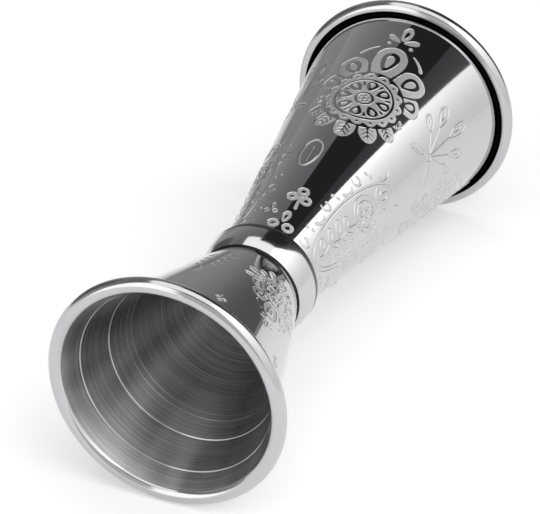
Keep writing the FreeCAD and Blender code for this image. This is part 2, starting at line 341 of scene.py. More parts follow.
def stroke(line, start_width, end_width, level=0):
    """A line with round ends whose width runs from one value to another."""
    line = resample(line, 0.3, closed=False)
    count = len(line)
    left, right = [], []
    for k, (x, y) in enumerate(line):
        ax, ay = line[max(k - 1, 0)]
        bx, by = line[min(k + 1, count - 1)]
        size = math.hypot(bx - ax, by - ay)
        nx, ny = -(by - ay) / size, (bx - ax) / size
        width = start_width + (end_width - start_width) * k / (count - 1)
        left.append((x + nx * width / 2, y + ny * width / 2))
        right.append((x - nx * width / 2, y - ny * width / 2))
    last_cap = cap(line[-2], line[-1], end_width / 2)
    first_cap = cap(line[1], line[0], start_width / 2)
    return [(left + last_cap + right[::-1] + first_cap, level)]


def cap(before, end, radius):
    """The round end of a stroke."""
    heading = math.atan2(end[1] - before[1], end[0] - before[0])
    turns = [heading + math.pi / 2 - math.pi * k / 6 for k in range(1, 6)]
    return [(end[0] + radius * math.cos(t), end[1] + radius * math.sin(t)) for t in turns]


def ring_of(shapes, count, radius, start_degrees=90.0):
    """Copies of shapes that grow outwards from a circle."""
    result = []
    for k in range(count):
        degrees = start_degrees + 360.0 * k / count
        x, y = along((0, 0), radius, degrees)
        result += moved(shapes, x, y, degrees - 90)
    return result


def fan(shapes, radius, lean):
    """Shapes set on a circle and leaning away from straight up, on both sides unless lean is 0."""
    result = []
    for side in ((1, -1) if lean % 180 else (1,)):
        x, y = along((0, 0), radius, 90 - side * lean)
        result += moved(shapes, x, y, -side * lean)
    return result


# ---------------------------------------------------------------- ornaments

def rosette():
    """A round flower: a beaded edge, a ring of drops and a dotted heart."""
    shapes = scalloped(7.0, 16, 0.85)
    shapes += ring_of(disc(0.36, 1), 16, 6.85, 90 + 180 / 16)
    shapes += disc(6.1, 1) + disc(5.6, 2)
    shapes += ring_of(leaf(3.0, 2.25, 0.45, 3) + leaf(1.6, 1.0, 0.4, 4, start=0.95), 8, 2.4)
    shapes += ring_of(leaf(1.6, 0.62, 0.5, 3), 8, 3.75, 90 + 180 / 8)
    shapes += disc(1.95, 3) + disc(1.5, 4)
    shapes += ring_of(disc(0.27, 5), 6, 0.92) + disc(0.34, 5)
    return shapes


def veined_leaf(length, width, fullness=0.2):
    """A leaf with its midrib and side veins left polished."""
    shapes = leaf(length, width, fullness)
    shapes += stroke([(0, length * 0.12), (0, length * 0.82)], 0.5, 0.34, 1)
    for share in (0.32, 0.5, 0.68):
        y = length * share
        reach = width * 0.30 * math.sin(math.pi * share) + 0.1
        for side in (1, -1):
            shapes += stroke([(0, y - 0.1), (side * reach, y + reach * 0.75)], 0.36, 0.32, 1)
    return shapes


def petal(length, width, start):
    """A petal with a polished gap round it and a polished drop inside."""
    shapes = leaf(length + 1.0, width + 1.1, 0.3, 1, start=start - 0.5)
    shapes += leaf(length, width, 0.3, 2, start=start)
    shapes += leaf(length * 0.56, width * 0.52, 0.35, 3, start=start + length * 0.3)
    shapes += leaf(length * 0.36, width * 0.26, 0.35, 4, start=start + length * 0.4)
    return shapes


def bouquet():
    """A round flower over a fan of leaves, with a crown of petals and a bud above it."""
    shapes = []
    for lean, length, width in ((180, 5.9, 4.2), (152, 5.4, 3.9), (125, 4.6, 3.5), (101, 3.0, 2.6)):
        shapes += fan(veined_leaf(length, width, 0.0), 6.6, lean)
    shapes += fan(petal(5.4, 5.0, 0.0), 6.2, 63)
    shapes += moved(fan(petal(8.0, 5.9, 0.0), 6.2, 34), up=4)
    shapes += moved(petal(11.0, 6.6, 5.9), up=8)
    shapes += disc(8.3, 13) + moved(rosette(), up=14)
    bud = leaf(4.6, 2.3, 0.1) + leaf(2.4, 0.9, 0.2, 1, start=1.0)
    shapes += moved(bud, y=19.3)
    for side in (1, -1):
        shapes += moved(leaf(3.3, 1.5, 0.3), side * 0.35, 18.9, -side * 62)
        sweep = [(side * 7.6 * math.sin(t), 9.6 + 7.6 * math.cos(t)) for t in spread(0.5, 1.0, 12)]
        shapes += stroke(sweep, 0.4, 0.9)
        shapes += disc(0.5, x=side * 2.3, y=17.9)
    return shapes


def side_leaves():
    """Leaves that stand out on both sides of a round flower."""
    shapes = []
    for lean, length in ((82, 5.4), (104, 4.8)):
        shapes += fan(veined_leaf(length, 3.0, 0.0), 9.0, lean)
    return shapes


def medallion():
    """An oval frame round a flowering sprig, with scrolls and dots along its sides."""
    rx, ry = 5.3, 14.6
    shapes = oval(rx, ry) + oval(rx - 0.45, ry - 0.45, 1) + oval(rx - 0.9, ry - 0.9, 2)
    shapes += stroke([(0.25 * math.sin(y), y) for y in spread(-12.4, 1.4, 40)], 0.7, 0.5, 3)
    for k, y in enumerate((-10.9, -8.1, -5.3, -2.5)):
        length = (2.9, 3.5, 3.7, 3.0)[k]
        pair = leaf(length, 1.75, 0.25, 3) + leaf(length * 0.5, 0.75, 0.3, 4, start=length * 0.3)
        for side in (1, -1):
            shapes += moved(pair, side * 0.2, y, -side * 55)
            shapes += disc(0.33, 3, side * (0.95 + 0.2 * k), y - 1.15)
    shapes += disc(3.75, 3, y=4.6) + moved(rosette(), y=4.6, scale=0.45, up=4)
    for lean, length in ((0, 4.0), (34, 3.3)):
        bud = leaf(length, 1.9, 0.2, 3) + leaf(length * 0.5, 0.8, 0.2, 4, start=length * 0.28)
        shapes += moved(fan(bud, 1.0, lean), y=8.0)
    for side in (1, -1):
        shapes += margin_marks(rx, ry, side)
    return shapes


def margin_marks(rx, ry, side):
    """A row of commas, scrolls and dots along one side of an oval."""
    shapes = []
    for k in range(9):
        share = -0.94 + 0.235 * k
        x = side * (rx * math.sqrt(1 - 0.8 * share ** 2) + 1.45)
        y = ry * share
        if k % 3 == 0:
            arc = [(0.95 * math.cos(t), 0.95 * math.sin(t)) for t in spread(0.6, 5.2, 24)]
            shapes += moved(stroke(arc, 0.36, 0.75), x, y, 0 if side > 0 else 180)
        elif k % 3 == 1:
            shapes += disc(0.42, x=x - 0.55, y=y - 0.2) + disc(0.42, x=x + 0.55, y=y + 0.3)
        else:
            hook = [(0.9 * math.cos(t), 1.5 * math.sin(t)) for t in spread(-1.2, 1.4, 16)]
            shapes += moved(stroke(hook, 0.9, 0.36), x - side * 0.5, y, 180 if side > 0 else 0)
    return shapes


def tulips():
    """Five long buds on stems that spring from one leafy foot."""
    shapes = []
    for lean, stem, length, width in ((0, 7.0, 6.6, 2.5), (24, 6.2, 5.4, 2.3), (46, 3.8, 4.2, 2.0)):
        flower = stroke([(0, 0), (0, stem + 0.3)], 0.42, 0.42)
        flower += leaf(length, width, 0.35, start=stem)
        flower += leaf(length - 0.95, width - 0.9, 0.35, 1, start=stem + 0.5)
        flower += leaf(length * 0.42, width * 0.3, 0.35, 2, start=stem + length * 0.3)
        shapes += fan(flower, 0.9, lean)
    shapes += disc(1.1) + disc(0.5, 1)
    for side in (1, -1):
        shapes += moved(veined_leaf(4.4, 1.9), side * 1.0, -0.7, -side * 128)
    return moved(shapes, y=-8.2)


def trefoil():
    """Three round leaves on a short stem."""
    lobe = disc(1.25, y=1.45) + disc(0.5, 1, y=1.55)
    shapes = lobe + moved(lobe, degrees=112) + moved(lobe, degrees=-112)
    return shapes + stroke([(0, 0), (0.5, -3.4)], 0.5, 0.8)


def berries():
    """Two berries with a leaf between them."""
    shapes = []
    for side in (1, -1):
        shapes += disc(1.25, x=side * 1.5, y=-0.6) + disc(0.55, 1, side * 1.5, -0.6)
    return shapes + leaf(3.4, 1.7, 0.2, start=0.3) + leaf(1.6, 0.6, 0.2, 1, start=1.1)


def open_leaf(length, width):
    """A leaf drawn as an outline, with its midrib."""
    shapes = leaf(length, width, 0.1) + leaf(length - 1.0, width - 0.9, 0.1, 1, start=0.5)
    return shapes + stroke([(0, length * 0.2), (0, length * 0.7)], 0.4, 0.36, 2)


def fern():
    """A straight stem with leaf pairs and a bud."""
    shapes = stroke([(0, 0), (0, 11.0)], 0.5, 0.4) + leaf(3.6, 1.7, 0.1, start=11.4)
    for k in range(4):
        for side in (1, -1):
            shapes += moved(leaf(2.9 - 0.3 * k, 1.2, 0.3), side * 0.5, 1.2 + 2.5 * k, -side * 58)
    return moved(shapes, y=-7.5)


def ornaments(end):
    """Every motif of a cup as (angle round +X in degrees, distance from the small mouth, shapes)."""
    places = []
    if end == "large":
        for angle in (98, 218, 338):
            places.append((angle, 87.2, bouquet()))
            places.append((angle + 4, 55.8, trefoil()))
            places.append((angle + 4, 47.6, berries()))
            places.append((angle - 12, 64.0, open_leaf(8.6, 4.2)))
            places.append((angle - 15, 50.6, moved(berries(), scale=0.55)))
        for angle in (38, 160, 277):
            places.append((angle, 60.6, medallion()))
            places.append((angle, 96.4, tulips()))
    else:
        for angle in (23, 143, 263):
            places.append((angle, 26.5, moved(bouquet() + side_leaves(), scale=0.56)))
            places.append((angle - 30, 9.3, moved(trefoil(), scale=0.5)))
            places.append((angle + 19, 10.2, moved(trefoil(), scale=0.5)))
        for angle in (83, 203, 323):
            places.append((angle, 24.5, fern()))
    return places


# ---------------------------------------------------------------- etched zone

def signed_area(outline):
    """The area inside an outline, negative when it runs clockwise."""
    pairs = zip(outline, outline[1:] + outline[:1])
    return sum(x0 * y1 - x1 * y0 for (x0, y0), (x1, y1) in pairs) / 2


def inset(outline, amount):
    """The outline moved towards its own inside."""
    sign = 1 if signed_area(outline) > 0 else -1
    result = []
    count = len(outline)
    for k, (x, y) in enumerate(outline):
        ax, ay = outline[k - 1]
        bx, by = outline[(k + 1) % count]
        size = math.hypot(bx - ax, by - ay)
        result.append((x - sign * (by - ay) / size * amount, y + sign * (bx - ax) / size * amount))
    return result


def etched_zone(skin, section):
    """The outside of a wall with the ornaments etched into it, laid out flat and then rolled up."""
    near, far = section.cup["patch"]
    layout_radius = (section.wall(near, True)[0] + section.wall(far, True)[0]) / 2
    around = 2 * math.pi * layout_radius
    rings = ornament_rings(skin.side, section, layout_radius)
    points, edges = outline_edges(rings)
    add_grid(points, edges, section, around)
    flat, _, faces, _, _, _ = delaunay_2d_cdt(points, edges, [], 0, 1e-7, True)
    kinds, sunk_points = face_kinds(flat, faces, rings)

    placed, leaning = [], []
    for k, (x, depth) in enumerate(flat):
        on_seam = abs(x) < 1e-6 or abs(x - around) < 1e-6
        turn = SEAM if on_seam else SEAM + x / layout_radius
        radius, (nx, nr) = section.wall(depth, True)
        drop = ETCH_DEPTH if k in sunk_points else 0.0
        placed.append(skin.place(depth - nx * drop, radius - nr * drop, turn))
        leaning.append(skin.tilt(nx, nr, turn))
    slots = {"top": POLISHED, "floor": ETCHED, "edge": ETCHED_EDGE}
    for face, kind in zip(faces, kinds):
        if not 0.0 < sum(flat[k][0] for k in face) / 3 < around:
            continue
        corners = [placed[k] for k in face]
        normals = [leaning[k] for k in face]
        if kind == "edge":
            normals = flat_normals(corners, normals)
        skin.face(corners, normals, slots[kind])


def ornament_rings(side, section, layout_radius):
    """The outline and the inset outline of every ornament in the flat layout, each with its key.

    The key is twice the level, and one more for an inset outline. What crosses the seam is there
    twice, once at each end of the layout.
    """
    around = 2 * math.pi * layout_radius
    rings = []
    for angle, distance, shapes in ornaments(section.cup["end"]):
        depth = distance if section.cup["end"] == "small" else LENGTH - distance
        centre = (math.radians(angle) - SEAM) % (2 * math.pi)
        for outline, level in shapes:
            outline = resample(outline)
            for is_inset, line in enumerate((outline, inset(outline, ETCH_WALL))):
                key = 2 * level + is_inset
                ring = []
                for x, y in line:
                    local_radius = section.wall(depth - y, True)[0]
                    turn = centre + side * x / local_radius
                    ring.append((turn * layout_radius, depth - y * math.cos(section.slope)))
                rings.append((ring, key))
                if min(x for x, _ in ring) < 0.0:
                    rings.append(([(x + around, y) for x, y in ring], key))
                if max(x for x, _ in ring) > around:
                    rings.append(([(x - around, y) for x, y in ring], key))
    return rings


def outline_edges(rings):
    """The points of all rings, and the edges between neighbours as pairs of indices."""
    points, edges = [], []
    for ring, _ in rings:
        start, count = len(points), len(ring)
        points.extend(ring)
        edges.extend((start + k, start + (k + 1) % count) for k in range(count))
    return points, edges


def add_grid(points, edges, section, around):
    """Adds the layout's border, its two seam lines and the grid that fills the plain steel."""
    tree = kdtree.KDTree(len(points))
    for k, (x, y) in enumerate(points):
        tree.insert((x, y, 0), k)
    tree.balance()

    near, far = section.cup["patch"]
    rows = max(2, round((far - near) / GRID_STEP))
    depths = [near + (far - near) * row / rows for row in range(rows + 1)]
    for k in range(ROUND + 1):
        points.append((around * k / ROUND, near))
        points.append((around * k / ROUND, far))
    for x in (0.0, around):
        start = len(points)
        points.extend((x, depth) for depth in depths)
        edges.extend((start + row, start + row + 1) for row in range(rows))
    for row in range(1, rows):
        depth = depths[row]
        columns = round(2 * math.pi * section.wall(depth, True)[0] / GRID_STEP)
        for column in range(columns):
            x = around * (column + 0.5 * (row % 2) + 0.25) / columns
            if SEAM_MARGIN < x < around - SEAM_MARGIN and not points_near(tree, x, depth, CLEARANCE):
                points.append((x, depth))


def face_kinds(flat, faces, rings):
    """Each face as top, edge or floor, and the set of points that lie on the etched floor."""
    names = {0: "edge", 1: "floor", 2: "edge", 3: "top"}
    highest = highest_outlines(flat, faces, rings)
    kinds = ["top" if key < 0 else names[key % 4] for key in highest]
    sunk_points = {corner for face, kind in zip(faces, kinds) if kind == "floor" for corner in face}
    for k, face in enumerate(faces):
        sunk = sum(corner in sunk_points for corner in face)
        if kinds[k] == "edge" and sunk in (0, len(face)):
            kinds[k] = "floor" if sunk else "top"
    return kinds, sunk_points


def flat_normals(corners, outward):
    """The face's own normal for all three corners, on the side of the outward ones."""
    first, second, third = (Vector(corner) for corner in corners)
    normal = (second - first).cross(third - first)
    if normal.dot(Vector(outward[0])) < 0:
        normal.negate()
    if normal.length == 0:
        return outward
    return [tuple(normal.normalized())] * 3


def highest_outlines(flat, faces, rings):
    """The highest key among the outlines round each face, or -1 outside them all."""
    corners = np.array(flat)
    middle = corners[np.array(faces)].mean(axis=1)
    highest = np.full(len(faces), -1)
    for outline, key in sorted(rings, key=lambda pair: pair[1]):
        ring = np.array(outline)
        low, high = ring.min(axis=0), ring.max(axis=0)
        near = np.nonzero(((middle >= low) & (middle <= high)).all(axis=1))[0]
        x, y = middle[near].T
        inside = np.zeros(len(near), dtype=bool)
        for (x0, y0), (x1, y1) in zip(ring, np.roll(ring, -1, axis=0)):
            crossed = (y0 > y) != (y1 > y)
            if crossed.any():
                inside ^= crossed & (x < x0 + (x1 - x0) * (y - y0) / (y1 - y0))
        highest[near[inside]] = key
    return highest


def points_near(tree, x, y, distance):
    """Whether an outline's point lies within the distance."""
    found = tree.find((x, y, 0))
    return found[0] is not None and found[2] < distance


# ---------------------------------------------------------------- cups

def wall_run(section, depths, outside):
    """The wall's section at a row of depths."""
    run = []
    for depth in depths:
        r, (nx, nr) = section.wall(depth, outside)
        run.append((depth, r, nx, nr))
    return run


def inner_wall(skin, section):
    """The inside of the wall with its measuring lines and a few deeper turning marks."""
    cup = section.cup
    top = along(section.flare_centre, section.flare, section.touch)[0]
    bottom = section.corner[0] + CORNER * math.cos(math.radians(90 - cup["angle"]))
    grooves = [(line, LINE_HALF, LINE_DEPTH) for line in cup["lines"]]
    chance = random.Random(MARK_SEED)
    mark = cup["lines"][-1] + MARK_MARGIN
    while mark < bottom - MARK_MARGIN:
        grooves.append((mark, MARK_HALF, chance.uniform(*MARK_DEPTHS)))
        mark += chance.uniform(*MARK_GAPS)
    start = top
    for middle, half, depth in sorted(grooves):
        stop = middle - half
        smooth_wall(skin, section, start, stop)
        edge = []
        for x, sink in ((stop, 0.0), (middle, depth), (middle + half, 0.0)):
            r, (nx, nr) = section.wall(x, False)
            edge.append((x - nx * sink, r - nr * sink))
        for (x0, r0), (x1, r1) in zip(edge, edge[1:]):
            size = math.hypot(x1 - x0, r1 - r0)
            nx, nr = (r1 - r0) / size, -(x1 - x0) / size
            skin.turn_run([(x0, r0, nx, nr), (x1, r1, nx, nr)], SATIN)
        start = middle + half
    smooth_wall(skin, section, start, bottom)


def smooth_wall(skin, section, start, stop):
    """The inside of the wall between two depths, divided at about every millimetre."""
    steps = max(1, round(stop - start))
    skin.turn_run(wall_run(section, spread(start, stop, steps + 1), False), SATIN)


def make_cup(cup, materials):
    """One cup: its inside, its curled rim and its outside, as one closed piece of sheet."""
    section = Section(cup)
    side = cup["mouth"]
    skin = Skin(f"{cup['end']}_cup_steel", side * LENGTH / 2, side)
    cup_inside(skin, section)
    curled_rim(skin, section)
    cup_outside(skin, section)
    piece = skin.finish(materials)
    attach(piece, "root")
    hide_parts(f"{cup['end']}_cup")


def cup_inside(skin, section):
    """The base, the rounded corner and the wall, all brushed."""
    base = section.cup["base"] - SHEET
    skin.turn_run([(base, r, -1, 0) for r in spread(0.0, section.corner[1], BASE_RINGS)], SATIN)
    corner_end = 90 - section.cup["angle"]
    skin.turn_run(arc_run(section.corner, CORNER, 0, corner_end, -1, CORNER_STEPS), SATIN)
    inner_wall(skin, section)


def curled_rim(skin, section):
    """The bead with the flat in the mouth plane, and the sheet's cut end and the hollow inside, painted
    near black as shade.
    """
    bead, flat, curl = section.bead, section.flat_angle, section.cup["curl"]
    skin.turn_run(arc_run(bead, BEAD, section.touch, 180 + flat, 1, BEAD_STEPS_IN), RIM_FINISH)
    inner_edge, outer_edge = bead[1] - BEAD_FLAT / 2, bead[1] + BEAD_FLAT / 2
    skin.turn_run([(0.0, inner_edge, -1, 0), (0.0, outer_edge, -1, 0)], RIM_FINISH)
    skin.turn_run(arc_run(bead, BEAD, 180 - flat, curl, 1, BEAD_STEPS_OUT), RIM_FINISH)
    # The cut end and the hollow take the painted shade, near black.
    turn = math.radians(curl)
    cut = [along(bead, radius, curl) for radius in (BEAD, BEAD - SHEET)]
    skin.turn_run([(x, r, math.sin(turn), -math.cos(turn)) for x, r in cut], CURL_PAINTED_SHADE)
    hollow = arc_run(bead, BEAD - SHEET, curl, section.touch, -1, HOLLOW_STEPS)
    skin.turn_run(hollow, CURL_PAINTED_SHADE)


def cup_outside(skin, section):
    """The steel behind the curl, painted near black as shade, then the etched zone and the plain steel
    down to the base.
    """
    near, far = section.cup["patch"]
    start = along(section.flare_centre, section.flare - SHEET, section.touch)[0]
    # Painted shade: the steel just behind the curl is near black.
    skin.turn_run(wall_run(section, spread(start, CURL_SHADE, 4), True), CURL_PAINTED_SHADE)
    skin.turn_run(wall_run(section, [CURL_SHADE, near], True), POLISHED)
    etched_zone(skin, section)
    corner_end = 90 - section.cup["angle"]
    last = section.corner[0] + (CORNER + SHEET) * math.cos(math.radians(corner_end))
    skin.turn_run(wall_run(section, [far, last], True), POLISHED)
    corner = arc_run(section.corner, CORNER + SHEET, corner_end, 0, 1, CORNER_STEPS_OUT)
    skin.turn_run(corner, POLISHED)
    base = section.cup["base"]
    skin.turn_run([(base, section.corner[1], 1, 0), (base, 0.0, 1, 0)], POLISHED)


# ---------------------------------------------------------------- materials

def new_material(name):
    """A material with its nodes, its links and its Principled shader."""
    material = bpy.data.materials.new(name)
    material.use_nodes = True
    nodes = material.node_tree.nodes
    return material, nodes, material.node_tree.links, nodes["Principled BSDF"]


def noise(nodes, links, scale, stretch=(1, 1, 1), detail=3.0):
    """Noise over the object's own coordinates, stretched along chosen axes."""
    place = nodes.new("ShaderNodeTexCoord")
    mapping = nodes.new("ShaderNodeMapping")
    mapping.inputs["Scale"].default_value = stretch
    texture = nodes.new("ShaderNodeTexNoise")
    texture.inputs["Scale"].default_value = scale
    texture.inputs["Detail"].default_value = detail
    links.new(place.outputs["Object"], mapping.inputs["Vector"])
    links.new(mapping.outputs["Vector"], texture.inputs["Vector"])
    return texture.outputs["Fac"]


def ramp(nodes, links, source, low, high, source_low=0.0, source_high=1.0):
    """A value turned into one between low and high."""
    node = nodes.new("ShaderNodeMapRange")
    node.inputs["From Min"].default_value = source_low
    node.inputs["From Max"].default_value = source_high
    node.inputs["To Min"].default_value = low
    node.inputs["To Max"].default_value = high
    links.new(source, node.inputs["Value"])
    return node.outputs["Result"]


def tint(nodes, links, source, dark, light):
    """A value turned into a colour between two."""
    node = nodes.new("ShaderNodeMix")
    node.data_type = "RGBA"
    colours = [socket for socket in node.inputs if socket.type == "RGBA"]
    colours[0].default_value = (*dark, 1)
    colours[1].default_value = (*light, 1)
    links.new(source, node.inputs[0])
    return next(socket for socket in node.outputs if socket.type == "RGBA")


def bump(nodes, links, source, strength, distance):
    """A normal tilted by fine relief."""
    node = nodes.new("ShaderNodeBump")
    node.inputs["Strength"].default_value = strength
    node.inputs["Distance"].default_value = distance
    links.new(source, node.inputs["Height"])
    return node.outputs["Normal"]


def blend(nodes, links, first, second, share):
    """Two values mixed into one."""
    node = nodes.new("ShaderNodeMix")
    node.inputs[0].default_value = share
    links.new(first, node.inputs["A"])
    links.new(second, node.inputs["B"])
    return node.outputs["Result"]


def steel(name, dark, light, rough, grain=None):
    """Stainless steel with slightly uneven colour and polish, and grain as (scale, strength, depth)."""
    material, nodes, links, shader = new_material(name)
    shader.inputs["Metallic"].default_value = 1.0
    cloud = noise(nodes, links, 90.0)
    links.new(tint(nodes, links, cloud, dark, light), shader.inputs["Base Color"])
    links.new(ramp(nodes, links, noise(nodes, links, 270.0), *rough), shader.inputs["Roughness"])
    if grain:
        scale, strength, depth = grain
        fine = noise(nodes, links, scale)
        links.new(bump(nodes, links, fine, strength, depth), shader.inputs["Normal"])
    return material


def turned_steel(name, dark, light, rough):
    """The brushed inside of a cup: fine rings round the axis, and soft streaks along it that vary the
    polish and lighten the colour as painted highlight streaks.
    """
    material, nodes, links, shader = new_material(name)
    shader.inputs["Metallic"].default_value = 1.0
    shader.inputs["Anisotropic"].default_value = 0.8
    shader.inputs["Anisotropic Rotation"].default_value = 0.25
    rings = noise(nodes, links, 1500.0, (2.2, 0.02, 0.02), 3.0)
    # Painted highlight: the streaks along the axis lighten the colour like the light fans of a brushed
    # finish, and they also vary the roughness.
    streaks = noise(nodes, links, 130.0, (0.05, 1.0, 1.0), 1.0)
    sharp_rings = ramp(nodes, links, rings, 0.0, 1.0, 0.38, 0.62)
    sharp_streaks = ramp(nodes, links, streaks, 0.0, 1.0, 0.36, 0.64)
    mixed = blend(nodes, links, sharp_rings, sharp_streaks, 0.58)
    links.new(tint(nodes, links, mixed, dark, light), shader.inputs["Base Color"])
    links.new(ramp(nodes, links, streaks, *rough), shader.inputs["Roughness"])
    links.new(bump(nodes, links, rings, 0.35, 0.00003), shader.inputs["Normal"])
    tangent = nodes.new("ShaderNodeTangent")
    tangent.direction_type = "RADIAL"
    tangent.axis = "X"
    links.new(tangent.outputs["Tangent"], shader.inputs["Tangent"])
    return material


def steel_materials():
    """The finishes of a cup, in the order of its material slots."""
    polished = steel("polished_steel", (0.52, 0.52, 0.535), (0.57, 0.57, 0.585), (0.03, 0.07))
    rim = steel("rim_steel", (0.48, 0.48, 0.49), (0.55, 0.55, 0.56), (0.10, 0.17))
    satin = turned_steel("satin_steel", (0.26, 0.26, 0.265), (0.60, 0.60, 0.605), (0.24, 0.36))
    grain = (9000.0, 0.25, 0.00002)
    etched = steel("etched_steel", (0.55, 0.55, 0.56), (0.63, 0.63, 0.64), (0.42, 0.50), grain)
    edge = steel("etched_edge_steel", (0.46, 0.46, 0.47), (0.52, 0.52, 0.53), (0.14, 0.22))
    # Painted shade: near black for the steel behind and inside the curled rim.
    shade = steel("curl_painted_shade", (0.012, 0.012, 0.013), (0.03, 0.03, 0.032), (0.5, 0.7))
    return [polished, rim, satin, etched, edge, shade]


def band_materials():
    """The band's finishes: its polished outside, its edge at the small lip painted near black as shade,
    and its far shoulder painted dark as shade and a dark reflection.
    """
    polished = steel("band_steel", (0.52, 0.52, 0.53), (0.58, 0.58, 0.59), (0.09, 0.14))
    # Painted shade: near black on the edge at the small lip.
    edge = steel("band_edge_painted_shade", (0.03, 0.03, 0.032), (0.07, 0.07, 0.07), (0.4, 0.6))
    # Painted shade and painted dark reflection on the far shoulder and its end face.
    shoulder_shade = steel("band_shoulder_painted_shade", (0.09, 0.09, 0.093), (0.16, 0.16, 0.163), (0.22, 0.32))
    return [polished, edge, shoulder_shade]


def floor_material():
    """A matt white table that glows a little."""
    material, nodes, links, shader = new_material("white_table")
    shader.inputs["Roughness"].default_value = 0.9
    shader.inputs["Specular IOR Level"].default_value = 0.1
    shader.inputs["Emission Color"].default_value = (1, 1, 1, 1)
    shader.inputs["Emission Strength"].default_value = TABLE_GLOW
    mottle = noise(nodes, links, 6.0)
    low, high = TABLE_WHITE - 0.01, TABLE_WHITE + 0.01
    links.new(tint(nodes, links, mottle, (low, low, low), (high, high, high)), shader.inputs["Base Color"])
    return material


# ---------------------------------------------------------------- stage
# The jigger lies on a white table under a large overhead softbox. A second softbox stands close
# to its right side, and dark cards ahead of it put the black bands into the polished steel.
# The emitters' strengths are given where they are placed, and distances are millimetres.
TABLE_GLOW = 0.28      # strength of the table's own glow
TABLE_WHITE = 0.83     # its base colour
TABLE_REACH = 6000     # its radius
ROOM_LOW = 0.47        # brightness of the room at the horizon
ROOM_HIGH = 0.19       # and overhead
CAMERA_AIM = (-3.5, 3.4, 20.0)
CAMERA_DISTANCE = 636.5
CAMERA_AZIMUTH = 23.53     # direction in which the camera looks, round +Z from +X
CAMERA_DROP = 31.53        # and how far it looks down
CAMERA_LENS = 225.06


def plane(name, corners, material, hidden=True, mirrored_only=False):
    """A flat piece of the studio, by default hidden from the camera, or one that only mirrors show."""
    mesh = bpy.data.meshes.new(name)
    placed = [tuple(value * MM for value in corner) for corner in corners]
    mesh.from_pydata(placed, [], [tuple(range(len(corners)))])
    mesh.materials.append(material)
    item = bpy.data.objects.new(name, mesh)
    scene.collection.objects.link(item)
    item.visible_camera = not hidden
    item.visible_diffuse = not mirrored_only
    item.visible_shadow = not mirrored_only


def make_floor():
    """The round white table."""
    corners = [(*along((0, 0), TABLE_REACH, 360 * k / 96), 0) for k in range(96)]
    plane("table", corners, floor_material(), hidden=False)


def spot(azimuth, elevation, reach):
    """The place in a direction from the jigger at a horizontal distance."""
    a, e = math.radians(azimuth), math.radians(elevation)
    return (reach * math.cos(a), reach * math.sin(a), max(0.0, reach * math.tan(e)))


def upright(azimuths, elevations, reach):
    """The corners of an upright screen between two azimuths and two elevations."""
    (left, right), (low, high) = azimuths, elevations
    corners = ((left, low), (right, low), (right, high), (left, high))
    return [spot(azimuth, elevation, reach) for azimuth, elevation in corners]


def glowing(name, low, high=None, colour=(1, 1, 1), axis="Z", start=0.0, end=1.0):
    """A plain emitter, graded from one strength to another between two places in metres on an axis."""
    material, nodes, links, shader = new_material(name)
    nodes.remove(shader)
    emission = nodes.new("ShaderNodeEmission")
    emission.inputs["Color"].default_value = (*colour, 1)
    emission.inputs["Strength"].default_value = low
    if high is not None:
        place = nodes.new("ShaderNodeTexCoord")
        split = nodes.new("ShaderNodeSeparateXYZ")
        links.new(place.outputs["Object"], split.inputs["Vector"])
        grade = nodes.new("ShaderNodeMapRange")
        grade.interpolation_type = "SMOOTHSTEP"
        grade.inputs["From Min"].default_value = start
        grade.inputs["From Max"].default_value = end
        grade.inputs["To Min"].default_value = low
        grade.inputs["To Max"].default_value = high
        links.new(split.outputs[axis], grade.inputs["Value"])
        links.new(grade.outputs["Result"], emission.inputs["Strength"])
    links.new(emission.outputs["Emission"], nodes["Material Output"].inputs["Surface"])
    return material


def make_room():
    """A grey room, darker towards the ceiling."""
    world = bpy.data.worlds.new("room")
    world.use_nodes = True
    nodes, links = world.node_tree.nodes, world.node_tree.links
    place = nodes.new("ShaderNodeTexCoord")
    split = nodes.new("ShaderNodeSeparateXYZ")
    links.new(place.outputs["Generated"], split.inputs["Vector"])
    grade = nodes.new("ShaderNodeMapRange")
    grade.inputs["From Max"].default_value = 0.8
    grade.inputs["To Min"].default_value = ROOM_LOW
    grade.inputs["To Max"].default_value = ROOM_HIGH
    links.new(split.outputs["Z"], grade.inputs["Value"])
    links.new(grade.outputs["Result"], nodes["Background"].inputs["Strength"])
    nodes["Background"].inputs["Color"].default_value = (0.98, 0.98, 1.0, 1)
    scene.world = world


def make_lights():
    """The room, the softboxes and the cards."""
    make_room()
    make_softboxes()
    make_dark_cards()


def make_softboxes():
    """One beside the jigger, one overhead, one behind it and a dimmer wall behind the camera."""
    left, right, aside, top = -330, 232, -212, 640
    box = [(left, aside, 0), (right, aside, 0), (right, aside, top), (left, aside, top)]
    plane("side_softbox", box, glowing("side_softbox", 1.0, 2.2, end=0.33))
    half, ceiling = 640, 1100
    sides = ((-half, -half), (half, -half), (half, half), (-half, half))
    overhead = [(x, y, ceiling) for x, y in sides]
    plane("overhead_softbox", overhead, glowing("overhead_softbox", 1.5))
    plane("back_softbox", upright((128, 166), (-1, 50), 800), glowing("back_softbox", 1.9))
    plane("grey_wall", upright((167, 215), (-1, 45), 1200), glowing("grey_wall", 0.7))


